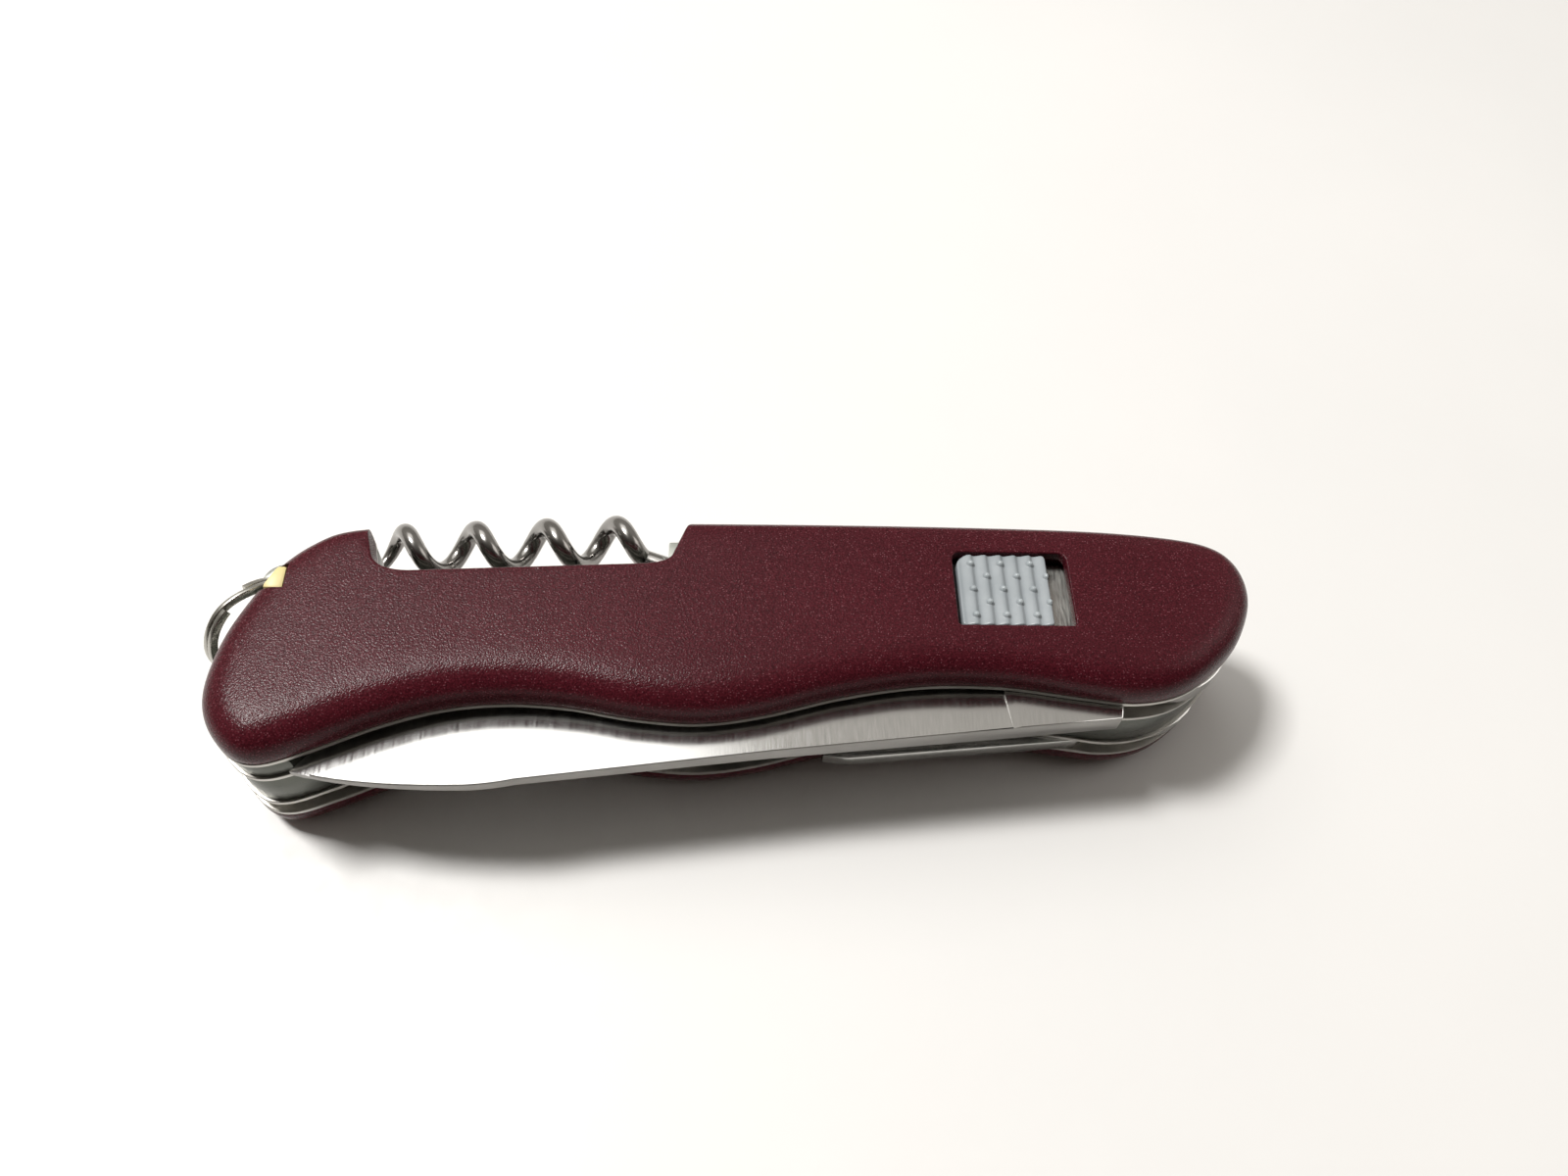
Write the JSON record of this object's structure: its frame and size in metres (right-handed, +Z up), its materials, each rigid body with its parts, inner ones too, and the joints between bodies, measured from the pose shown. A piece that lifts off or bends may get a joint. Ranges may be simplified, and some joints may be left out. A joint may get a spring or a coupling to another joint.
{
  "type": "multi-tool pocket knife with corkscrew",
  "caption": "Folding pocket knife with matte burgundy scales, a large locking blade, a corkscrew, openers, a reamer and a key ring, lying closed on its side.",
  "frame": {"origin": "bottom centre of the closed knife's bounding box, on the plane that the knife lies on", "axes": "+X along the handle from the key ring end to the blade pivot end, +Y towards the back of the handle where the corkscrew sits, +Z up through the layers from the rear scale to the front scale"},
  "size_m": [0.1142, 0.0366, 0.0216],
  "materials": {
    "scale": "burgundy, fine matte grain",
    "liner": "satin",
    "spring": "satin",
    "rivet": "turned",
    "blade": "fine polish",
    "tool": "polished",
    "coil": "polished",
    "hub": "satin",
    "plate": "satin",
    "ring": "satin",
    "button": "blue-grey, matte",
    "toothpick": "cream, matte",
    "grip": "grey, matte"
  },
  "bodies": {
    "handle": {"front_scale": "scale", "rear_scale": "scale", "front_liner": "liner", "blade_liner": "liner", "opener_liner": "liner", "rear_liner": "liner", "blade_backspring": "spring", "corkscrew_backspring": "spring", "opener_backspring": "spring", "head_spacer": "spring", "head_rivet": "rivet", "butt_rivet": "rivet", "centre_rivet": "rivet", "corkscrew_pin": "rivet", "reamer_pin": "rivet", "key_ring_lug": "liner"},
    "blade": {"large_blade": "blade"},
    "can_opener_tool": {"can_opener": "tool"},
    "bottle_opener_tool": {"bottle_opener": "tool"},
    "corkscrew_tool": {"corkscrew": "coil", "corkscrew_hub": "hub"},
    "reamer_tool": {"reamer": "tool"},
    "slide": {"slide_button": "button", "slide_plate": "plate"},
    "leaf": {"lock_leaf": "liner"},
    "ring": {"key_ring": "ring"},
    "pick": {"toothpick": "toothpick"},
    "tweezer_set": {"tweezers": "tool", "tweezers_grip": "grip"}
  },
  "joints": [
    {"name": "blade_hinge", "type": "hinge", "parent": "handle", "child": "blade", "pos_m": [0.04657, 0.00066, 0.0152], "axis": [0, 0, 1], "range_deg": [0, 178]},
    {"name": "can_opener_hinge", "type": "hinge", "parent": "handle", "child": "can_opener_tool", "pos_m": [0.04657, 0.00066, 0.0059], "axis": [0, 0, 1], "range_deg": [0, 175]},
    {"name": "bottle_opener_hinge", "type": "hinge", "parent": "handle", "child": "bottle_opener_tool", "pos_m": [-0.04493, -0.00534, 0.0059], "axis": [0, 0, -1], "range_deg": [0, 165]},
    {"name": "corkscrew_hinge", "type": "hinge", "parent": "handle", "child": "corkscrew_tool", "pos_m": [-0.00143, 0.00766, 0.0104], "axis": [0, 0, -1], "range_deg": [0, 90]},
    {"name": "reamer_hinge", "type": "hinge", "parent": "handle", "child": "reamer_tool", "pos_m": [0.01507, 0.00786, 0.0104], "axis": [0, 0, 1], "range_deg": [0, 90]},
    {"name": "button_slide", "type": "slide", "parent": "handle", "child": "slide", "axis": [1, 0, 0], "range_m": [0, 0.0021], "stiffness_N_per_m": 1500},
    {"name": "leaf_flex", "type": "hinge", "parent": "handle", "child": "leaf", "pos_m": [0.00957, 0.00236, 0.0169], "axis": [0, 1, 0], "range_deg": [-1, 0]},
    {"name": "ring_swing", "type": "hinge", "parent": "handle", "child": "ring", "pos_m": [-0.04983, 0.00621, 0.0143], "axis": [0, 0, 1], "range_deg": [-180, 0]},
    {"name": "toothpick_slide", "type": "slide", "parent": "handle", "child": "pick", "axis": [-1, 0, 0], "range_m": [0, 0.062]},
    {"name": "tweezers_slide", "type": "slide", "parent": "handle", "child": "tweezer_set", "axis": [-1, 0, 0], "range_m": [0, 0.0515]}
  ],
  "couplings": [
    {"joint": "leaf_flex", "follows": "button_slide", "rad_per_m": -7}
  ]
}
